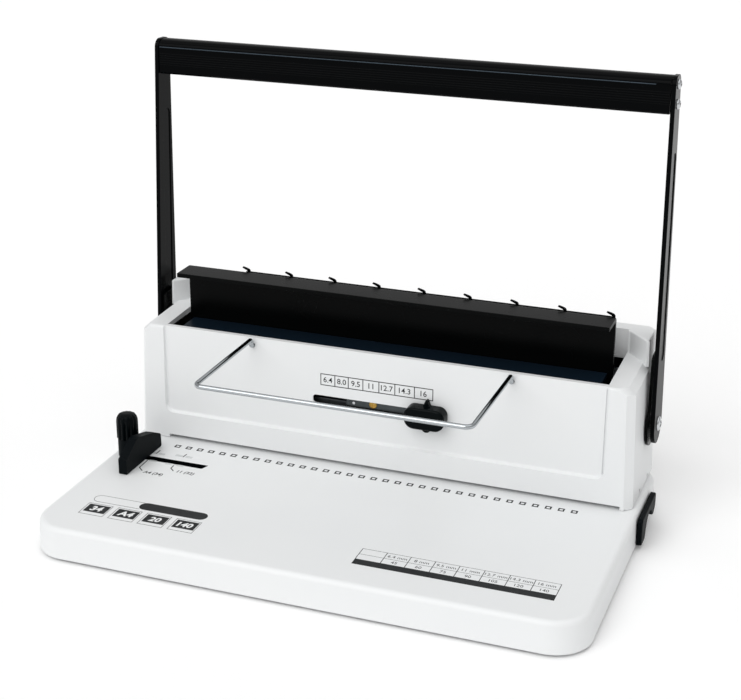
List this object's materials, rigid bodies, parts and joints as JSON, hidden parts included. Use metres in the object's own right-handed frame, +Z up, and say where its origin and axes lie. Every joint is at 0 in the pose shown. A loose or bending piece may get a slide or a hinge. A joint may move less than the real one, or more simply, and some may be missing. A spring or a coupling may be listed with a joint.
{
  "type": "wire binding machine",
  "caption": "Desk machine with an overhead lever that punches square holes along a sheet's edge and presses a wire spine closed.",
  "frame": {"origin": "on the table under the middle of the base", "axes": "+X to the right as the user stands at the sheet tray, +Y towards the back, +Z up"},
  "size_m": [0.362, 0.224, 0.2912],
  "materials": {
    "white_abs": "fine satin moulded white",
    "black_paint": "black paint, semi-gloss",
    "black_anodised": "black anodised extrusion with fine lengthwise grooves",
    "black_plastic": "black moulded plastic",
    "steel": "ground steel",
    "zinc_plate": "zinc plated sheet steel",
    "screw_steel": "bright zinc plated",
    "chrome": "polished chrome",
    "brass": "turned brass",
    "rubber": "black rubber"
  },
  "bodies": {
    "frame": {"base_tray": "white_abs", "bottom_plate": "zinc_plate", "foot_front_left": "rubber", "foot_front_right": "rubber", "foot_rear_left": "rubber", "foot_rear_right": "rubber", "die_plate": "steel", "guide_plate": "steel", "throat_stop": "steel", "side_frame_left": "zinc_plate", "side_frame_right": "zinc_plate", "tie_bar": "zinc_plate", "guide_post_left": "chrome", "guide_post_right": "chrome", "lower_jaw": "black_paint", "housing_cover": "white_abs", "cover_screw_left_1": "screw_steel", "cover_screw_left_2": "screw_steel", "cover_screw_right_1": "screw_steel", "cover_screw_right_2": "screw_steel", "rack_socket_left": "black_plastic", "rack_socket_right": "black_plastic"},
    "lever": {"lever_shaft": "steel", "punch_eccentric_left": "steel", "punch_eccentric_right": "steel", "closing_crank_left": "steel", "closing_crank_right": "steel", "lever_plate_left": "black_paint", "lever_plate_right": "black_paint", "lever_arm_left": "black_paint", "lever_arm_right": "black_paint", "handle_bar": "black_anodised", "bar_screw_left_1": "screw_steel", "bar_screw_left_2": "screw_steel", "bar_screw_right_1": "screw_steel", "bar_screw_right_2": "screw_steel", "pivot_screw_left": "screw_steel", "pivot_screw_right": "screw_steel"},
    "punch": {"punch_bar": "steel", "punch_yoke_left": "zinc_plate", "punch_yoke_right": "zinc_plate"},
    "closer": {"closing_bar": "black_paint", "hook_strip": "black_paint", "closing_slot_plate_left": "zinc_plate", "closing_slot_plate_right": "zinc_plate", "post_bushing_left": "brass", "post_bushing_right": "brass"},
    "selector": {"selector_slider": "zinc_plate", "selector_screw": "brass", "selector_knob": "black_plastic"},
    "rack": {"rack_rod": "chrome"},
    "edge_guide": {"edge_guide_bar": "black_plastic", "clamp_bolt": "zinc_plate"},
    "guide_knob": {"edge_guide_knob": "black_plastic"},
    "drawer": {"waste_drawer": "black_plastic", "drawer_handle": "black_plastic"}
  },
  "joints": [
    {"name": "lever_swing", "type": "hinge", "parent": "frame", "child": "lever", "pos_m": [0, 0.085, 0.065], "axis": [1, 0, 0], "range_deg": [0, 84]},
    {"name": "punch_stroke", "type": "slide", "parent": "frame", "child": "punch", "axis": [0, 0, -1], "range_m": [0, 0.009]},
    {"name": "closer_stroke", "type": "slide", "parent": "frame", "child": "closer", "axis": [0, 0, -1], "range_m": [0, 0.028]},
    {"name": "selector_slide", "type": "slide", "parent": "frame", "child": "selector", "axis": [1, 0, 0], "range_m": [-0.067, 0]},
    {"name": "rack_pull", "type": "slide", "parent": "frame", "child": "rack", "axis": [0, -1, 0], "range_m": [0, 0.009]},
    {"name": "guide_slide", "type": "slide", "parent": "frame", "child": "edge_guide", "axis": [1, 0, 0], "range_m": [-0.0028, 0.054]},
    {"name": "guide_knob_turn", "type": "hinge", "parent": "edge_guide", "child": "guide_knob", "pos_m": [-0.1656, 0.001, 0.04], "axis": [0, 0, 1], "range_deg": [0, 360]},
    {"name": "drawer_pull", "type": "slide", "parent": "frame", "child": "drawer", "axis": [1, 0, 0], "range_m": [0, 0.14]}
  ],
  "couplings": [
    {"joint": "punch_stroke", "follows": "lever_swing", "m_per_rad": 0.006138},
    {"joint": "closer_stroke", "follows": "lever_swing", "m_per_rad": 0.019098}
  ]
}
